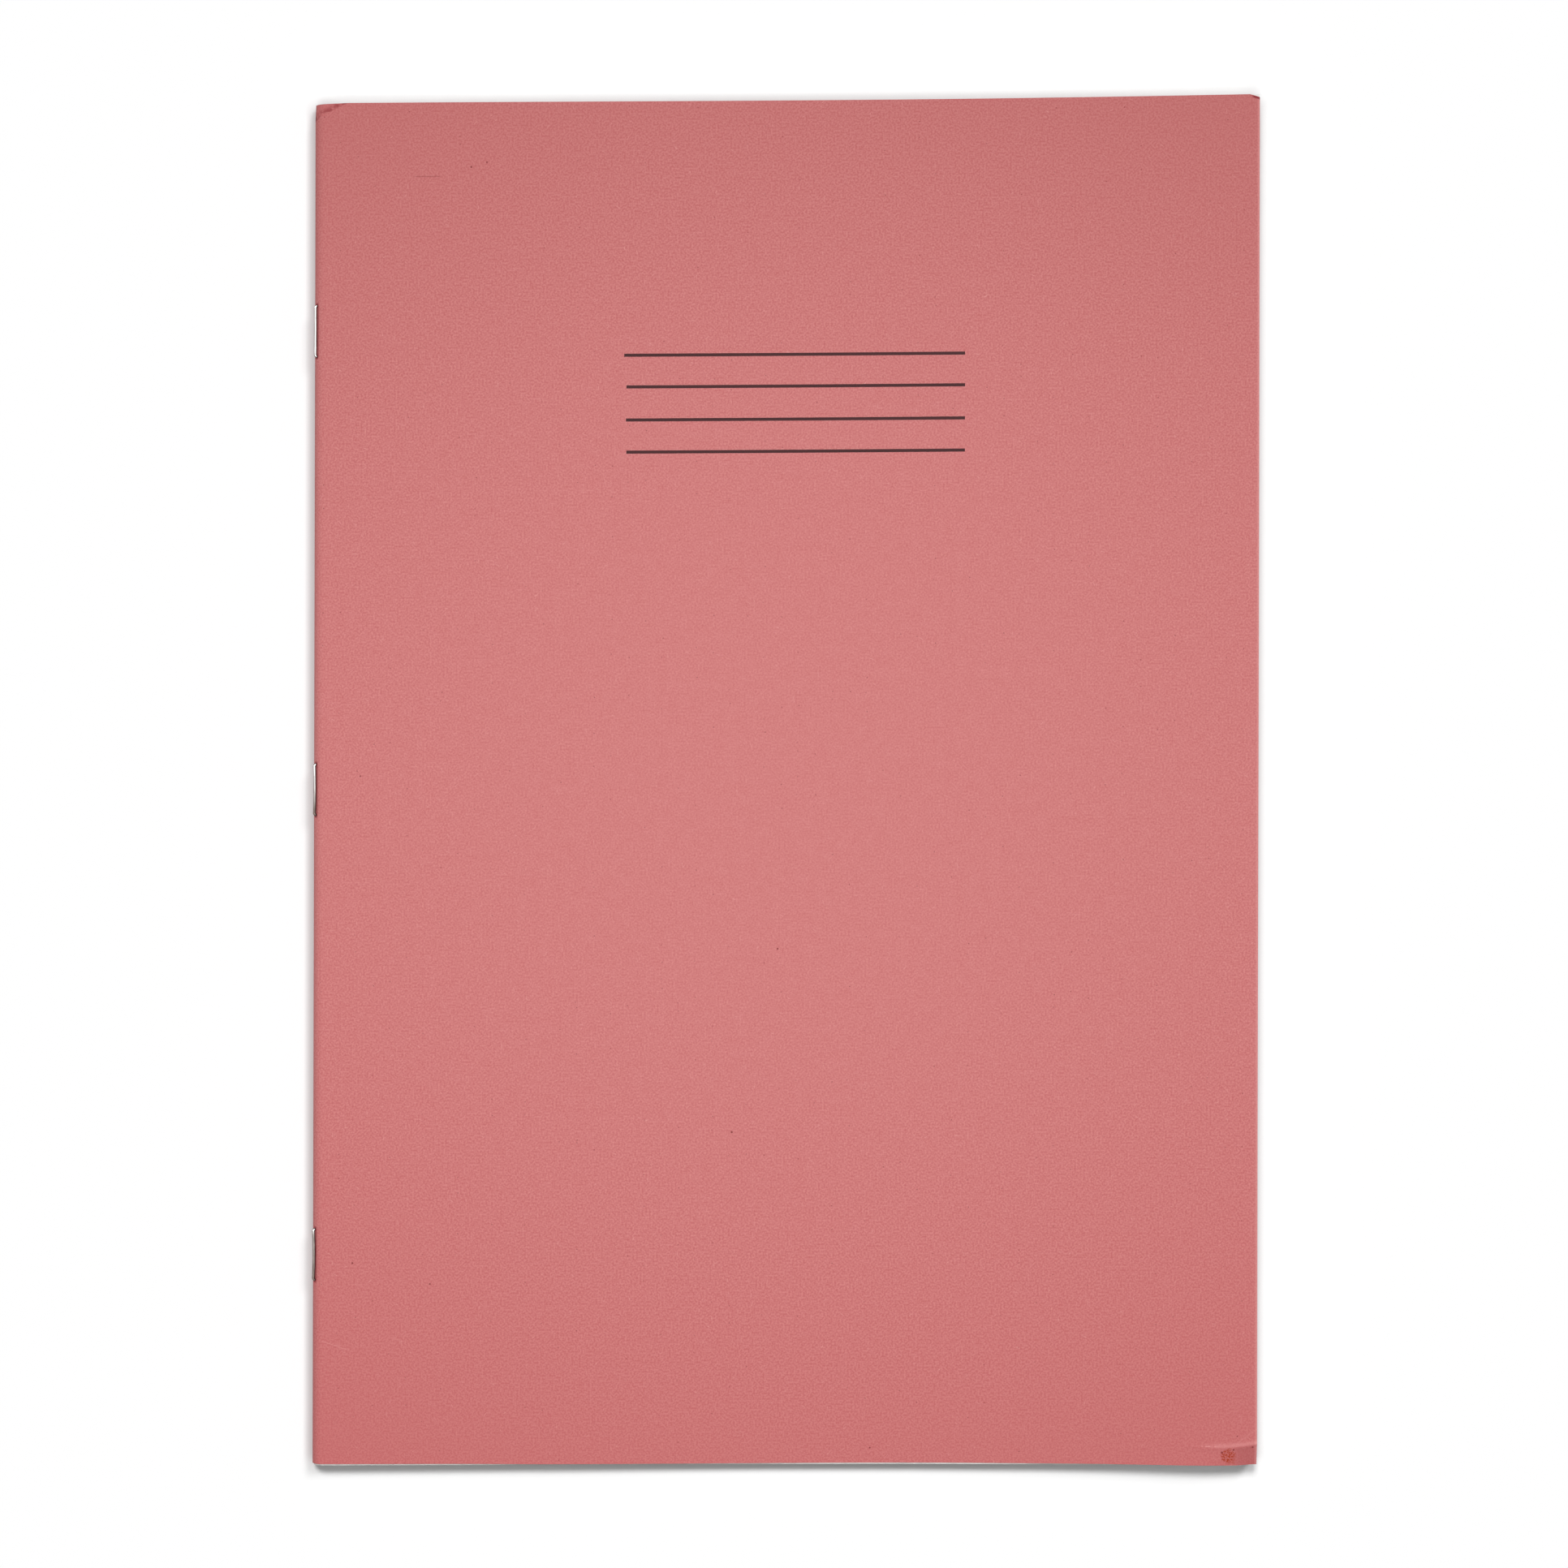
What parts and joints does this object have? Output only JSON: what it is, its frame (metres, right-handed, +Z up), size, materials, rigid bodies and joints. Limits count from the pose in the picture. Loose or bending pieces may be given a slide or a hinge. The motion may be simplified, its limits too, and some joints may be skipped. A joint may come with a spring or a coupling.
{
  "type": "stapled exercise book",
  "caption": "Closed school exercise book: folded card cover, nested ruled sheets and wire staples through the spine; cover and leaves open about the fold.",
  "frame": {"origin": "centre of the closed book's outline, on the outer face of its back cover", "axes": "+X from the spine to the fore-edge, +Y to the head of the page, +Z up out of the front cover"},
  "size_m": [0.2055, 0.297, 0.0062],
  "materials": {
    "cover_card": "uncoated manila",
    "page_paper": "uncoated, ruled",
    "staple_wire": "bright galvanised"
  },
  "bodies": {
    "back_half": {"back_cover": "cover_card", "sheet_01_back_leaf": "page_paper"},
    "spine": {"cover_spine": "cover_card", "sheet_01_fold": "page_paper", "sheet_02_fold": "page_paper", "sheet_03_fold": "page_paper", "sheet_04_fold": "page_paper", "sheet_05_fold": "page_paper", "sheet_06_fold": "page_paper", "sheet_07_fold": "page_paper", "sheet_08_fold": "page_paper", "sheet_09_fold": "page_paper", "sheet_10_fold": "page_paper", "sheet_11_fold": "page_paper", "sheet_12_fold": "page_paper", "sheet_13_fold": "page_paper", "sheet_14_fold": "page_paper", "sheet_15_fold": "page_paper", "sheet_16_fold": "page_paper", "staple_top": "staple_wire", "staple_middle": "staple_wire", "staple_bottom": "staple_wire"},
    "sheet_01_front_leaf": {"sheet_01_front_leaf": "page_paper"},
    "sheet_02_back_leaf": {"sheet_02_back_leaf": "page_paper"},
    "sheet_02_front_leaf": {"sheet_02_front_leaf": "page_paper"},
    "sheet_03_back_leaf": {"sheet_03_back_leaf": "page_paper"},
    "sheet_03_front_leaf": {"sheet_03_front_leaf": "page_paper"},
    "sheet_04_back_leaf": {"sheet_04_back_leaf": "page_paper"},
    "sheet_04_front_leaf": {"sheet_04_front_leaf": "page_paper"},
    "sheet_05_back_leaf": {"sheet_05_back_leaf": "page_paper"},
    "sheet_05_front_leaf": {"sheet_05_front_leaf": "page_paper"},
    "sheet_06_back_leaf": {"sheet_06_back_leaf": "page_paper"},
    "sheet_06_front_leaf": {"sheet_06_front_leaf": "page_paper"},
    "sheet_07_back_leaf": {"sheet_07_back_leaf": "page_paper"},
    "sheet_07_front_leaf": {"sheet_07_front_leaf": "page_paper"},
    "sheet_08_back_leaf": {"sheet_08_back_leaf": "page_paper"},
    "sheet_08_front_leaf": {"sheet_08_front_leaf": "page_paper"},
    "sheet_09_back_leaf": {"sheet_09_back_leaf": "page_paper"},
    "sheet_09_front_leaf": {"sheet_09_front_leaf": "page_paper"},
    "sheet_10_back_leaf": {"sheet_10_back_leaf": "page_paper"},
    "sheet_10_front_leaf": {"sheet_10_front_leaf": "page_paper"},
    "sheet_11_back_leaf": {"sheet_11_back_leaf": "page_paper"},
    "sheet_11_front_leaf": {"sheet_11_front_leaf": "page_paper"},
    "sheet_12_back_leaf": {"sheet_12_back_leaf": "page_paper"},
    "sheet_12_front_leaf": {"sheet_12_front_leaf": "page_paper"},
    "sheet_13_back_leaf": {"sheet_13_back_leaf": "page_paper"},
    "sheet_13_front_leaf": {"sheet_13_front_leaf": "page_paper"},
    "sheet_14_back_leaf": {"sheet_14_back_leaf": "page_paper"},
    "sheet_14_front_leaf": {"sheet_14_front_leaf": "page_paper"},
    "sheet_15_back_leaf": {"sheet_15_back_leaf": "page_paper"},
    "sheet_15_front_leaf": {"sheet_15_front_leaf": "page_paper"},
    "sheet_16_back_leaf": {"sheet_16_back_leaf": "page_paper"},
    "sheet_16_front_leaf": {"sheet_16_front_leaf": "page_paper"},
    "front_cover": {"front_cover": "cover_card"}
  },
  "joints": [
    {"name": "book_open", "type": "hinge", "parent": "back_half", "child": "sheet_01_front_leaf", "pos_m": [-0.10038, 0, 0.00237], "axis": [0, -1, 0], "range_deg": [0, 179.6], "deforming": ["cover_spine", "sheet_01_fold", "sheet_02_fold", "sheet_03_fold", "sheet_04_fold", "sheet_05_fold", "sheet_06_fold", "sheet_07_fold", "sheet_08_fold", "sheet_09_fold", "sheet_10_fold", "sheet_11_fold", "sheet_12_fold", "sheet_13_fold", "sheet_14_fold", "sheet_15_fold", "sheet_16_fold"]},
    {"name": "cover_open", "type": "hinge", "parent": "sheet_01_front_leaf", "child": "front_cover", "pos_m": [-0.1004, 0, 0.00489], "axis": [0, -1, 0], "range_deg": [0, 179.5]},
    {"name": "spine_turn", "type": "hinge", "parent": "back_half", "child": "spine", "pos_m": [-0.10038, 0, 0.00237], "axis": [0, -1, 0], "range_deg": [0, 130]},
    {"name": "sheet_02_lift", "type": "hinge", "parent": "back_half", "child": "sheet_02_back_leaf", "pos_m": [-0.10038, 0, 0.00237], "axis": [0, -1, 0], "range_deg": [0, 0.0116]},
    {"name": "sheet_02_open", "type": "hinge", "parent": "sheet_02_back_leaf", "child": "sheet_02_front_leaf", "pos_m": [-0.10038, 0, 0.00237], "axis": [0, -1, 0], "range_deg": [0, 179.6]},
    {"name": "sheet_03_lift", "type": "hinge", "parent": "back_half", "child": "sheet_03_back_leaf", "pos_m": [-0.10038, 0, 0.00237], "axis": [0, -1, 0], "range_deg": [0, 0.065]},
    {"name": "sheet_03_open", "type": "hinge", "parent": "sheet_03_back_leaf", "child": "sheet_03_front_leaf", "pos_m": [-0.10038, 0, 0.00237], "axis": [0, -1, 0], "range_deg": [0, 179.5]},
    {"name": "sheet_04_lift", "type": "hinge", "parent": "back_half", "child": "sheet_04_back_leaf", "pos_m": [-0.10038, 0, 0.00237], "axis": [0, -1, 0], "range_deg": [0, 0.179]},
    {"name": "sheet_04_open", "type": "hinge", "parent": "sheet_04_back_leaf", "child": "sheet_04_front_leaf", "pos_m": [-0.10038, 0, 0.00237], "axis": [0, -1, 0], "range_deg": [0, 179.26]},
    {"name": "sheet_05_lift", "type": "hinge", "parent": "back_half", "child": "sheet_05_back_leaf", "pos_m": [-0.10038, 0, 0.00237], "axis": [0, -1, 0], "range_deg": [0, 0.3673]},
    {"name": "sheet_05_open", "type": "hinge", "parent": "sheet_05_back_leaf", "child": "sheet_05_front_leaf", "pos_m": [-0.10038, 0, 0.00237], "axis": [0, -1, 0], "range_deg": [0, 178.85]},
    {"name": "sheet_06_lift", "type": "hinge", "parent": "back_half", "child": "sheet_06_back_leaf", "pos_m": [-0.10038, 0, 0.00237], "axis": [0, -1, 0], "range_deg": [0, 0.6416]},
    {"name": "sheet_06_open", "type": "hinge", "parent": "sheet_06_back_leaf", "child": "sheet_06_front_leaf", "pos_m": [-0.10038, 0, 0.00237], "axis": [0, -1, 0], "range_deg": [0, 178.24]},
    {"name": "sheet_07_lift", "type": "hinge", "parent": "back_half", "child": "sheet_07_back_leaf", "pos_m": [-0.10038, 0, 0.00237], "axis": [0, -1, 0], "range_deg": [0, 1.01]},
    {"name": "sheet_07_open", "type": "hinge", "parent": "sheet_07_back_leaf", "child": "sheet_07_front_leaf", "pos_m": [-0.10038, 0, 0.00237], "axis": [0, -1, 0], "range_deg": [0, 177.41]},
    {"name": "sheet_08_lift", "type": "hinge", "parent": "back_half", "child": "sheet_08_back_leaf", "pos_m": [-0.10038, 0, 0.00237], "axis": [0, -1, 0], "range_deg": [0, 1.49]},
    {"name": "sheet_08_open", "type": "hinge", "parent": "sheet_08_back_leaf", "child": "sheet_08_front_leaf", "pos_m": [-0.10038, 0, 0.00237], "axis": [0, -1, 0], "range_deg": [0, 176.34]},
    {"name": "sheet_09_lift", "type": "hinge", "parent": "back_half", "child": "sheet_09_back_leaf", "pos_m": [-0.10038, 0, 0.00237], "axis": [0, -1, 0], "range_deg": [0, 2.08]},
    {"name": "sheet_09_open", "type": "hinge", "parent": "sheet_09_back_leaf", "child": "sheet_09_front_leaf", "pos_m": [-0.10038, 0, 0.00237], "axis": [0, -1, 0], "range_deg": [0, 175.01]},
    {"name": "sheet_10_lift", "type": "hinge", "parent": "back_half", "child": "sheet_10_back_leaf", "pos_m": [-0.10038, 0, 0.00237], "axis": [0, -1, 0], "range_deg": [0, 2.79]},
    {"name": "sheet_10_open", "type": "hinge", "parent": "sheet_10_back_leaf", "child": "sheet_10_front_leaf", "pos_m": [-0.10038, 0, 0.00237], "axis": [0, -1, 0], "range_deg": [0, 173.4]},
    {"name": "sheet_11_lift", "type": "hinge", "parent": "back_half", "child": "sheet_11_back_leaf", "pos_m": [-0.10038, 0, 0.00237], "axis": [0, -1, 0], "range_deg": [0, 3.63]},
    {"name": "sheet_11_open", "type": "hinge", "parent": "sheet_11_back_leaf", "child": "sheet_11_front_leaf", "pos_m": [-0.10038, 0, 0.00237], "axis": [0, -1, 0], "range_deg": [0, 171.49]},
    {"name": "sheet_12_lift", "type": "hinge", "parent": "back_half", "child": "sheet_12_back_leaf", "pos_m": [-0.10038, 0, 0.00237], "axis": [0, -1, 0], "range_deg": [0, 4.61]},
    {"name": "sheet_12_open", "type": "hinge", "parent": "sheet_12_back_leaf", "child": "sheet_12_front_leaf", "pos_m": [-0.10038, 0, 0.00237], "axis": [0, -1, 0], "range_deg": [0, 169.27]},
    {"name": "sheet_13_lift", "type": "hinge", "parent": "back_half", "child": "sheet_13_back_leaf", "pos_m": [-0.10038, 0, 0.00237], "axis": [0, -1, 0], "range_deg": [0, 5.72]},
    {"name": "sheet_13_open", "type": "hinge", "parent": "sheet_13_back_leaf", "child": "sheet_13_front_leaf", "pos_m": [-0.10038, 0, 0.00237], "axis": [0, -1, 0], "range_deg": [0, 166.72]},
    {"name": "sheet_14_lift", "type": "hinge", "parent": "back_half", "child": "sheet_14_back_leaf", "pos_m": [-0.10038, 0, 0.00237], "axis": [0, -1, 0], "range_deg": [0, 6.99]},
    {"name": "sheet_14_open", "type": "hinge", "parent": "sheet_14_back_leaf", "child": "sheet_14_front_leaf", "pos_m": [-0.10038, 0, 0.00237], "axis": [0, -1, 0], "range_deg": [0, 163.82]},
    {"name": "sheet_15_lift", "type": "hinge", "parent": "back_half", "child": "sheet_15_back_leaf", "pos_m": [-0.10038, 0, 0.00237], "axis": [0, -1, 0], "range_deg": [0, 8.42]},
    {"name": "sheet_15_open", "type": "hinge", "parent": "sheet_15_back_leaf", "child": "sheet_15_front_leaf", "pos_m": [-0.10038, 0, 0.00237], "axis": [0, -1, 0], "range_deg": [0, 160.57]},
    {"name": "sheet_16_lift", "type": "hinge", "parent": "back_half", "child": "sheet_16_back_leaf", "pos_m": [-0.10038, 0, 0.00237], "axis": [0, -1, 0], "range_deg": [0, 10]},
    {"name": "sheet_16_open", "type": "hinge", "parent": "sheet_16_back_leaf", "child": "sheet_16_front_leaf", "pos_m": [-0.10038, 0, 0.00237], "axis": [0, -1, 0], "range_deg": [0, 156.95]}
  ],
  "couplings": [
    {"joint": "spine_turn", "follows": "book_open", "ratio": 0.72383},
    {"joint": "sheet_02_lift", "follows": "book_open", "ratio": 0.0000639},
    {"joint": "sheet_02_open", "follows": "book_open", "ratio": 0.99998},
    {"joint": "sheet_03_lift", "follows": "book_open", "ratio": 0.0003614},
    {"joint": "sheet_03_open", "follows": "book_open", "ratio": 0.99943},
    {"joint": "sheet_04_lift", "follows": "book_open", "ratio": 0.000996},
    {"joint": "sheet_04_open", "follows": "book_open", "ratio": 0.9981},
    {"joint": "sheet_05_lift", "follows": "book_open", "ratio": 0.0020446},
    {"joint": "sheet_05_open", "follows": "book_open", "ratio": 0.99582},
    {"joint": "sheet_06_lift", "follows": "book_open", "ratio": 0.0035718},
    {"joint": "sheet_06_open", "follows": "book_open", "ratio": 0.99244},
    {"joint": "sheet_07_lift", "follows": "book_open", "ratio": 0.0056343},
    {"joint": "sheet_07_open", "follows": "book_open", "ratio": 0.98783},
    {"joint": "sheet_08_lift", "follows": "book_open", "ratio": 0.0082834},
    {"joint": "sheet_08_open", "follows": "book_open", "ratio": 0.98187},
    {"joint": "sheet_09_lift", "follows": "book_open", "ratio": 0.011566},
    {"joint": "sheet_09_open", "follows": "book_open", "ratio": 0.97445},
    {"joint": "sheet_10_lift", "follows": "book_open", "ratio": 0.015526},
    {"joint": "sheet_10_open", "follows": "book_open", "ratio": 0.96547},
    {"joint": "sheet_11_lift", "follows": "book_open", "ratio": 0.020205},
    {"joint": "sheet_11_open", "follows": "book_open", "ratio": 0.95484},
    {"joint": "sheet_12_lift", "follows": "book_open", "ratio": 0.025642},
    {"joint": "sheet_12_open", "follows": "book_open", "ratio": 0.94247},
    {"joint": "sheet_13_lift", "follows": "book_open", "ratio": 0.031873},
    {"joint": "sheet_13_open", "follows": "book_open", "ratio": 0.92826},
    {"joint": "sheet_14_lift", "follows": "book_open", "ratio": 0.038934},
    {"joint": "sheet_14_open", "follows": "book_open", "ratio": 0.91216},
    {"joint": "sheet_15_lift", "follows": "book_open", "ratio": 0.046858},
    {"joint": "sheet_15_open", "follows": "book_open", "ratio": 0.89406},
    {"joint": "sheet_16_lift", "follows": "book_open", "ratio": 0.055679},
    {"joint": "sheet_16_open", "follows": "book_open", "ratio": 0.8739}
  ]
}
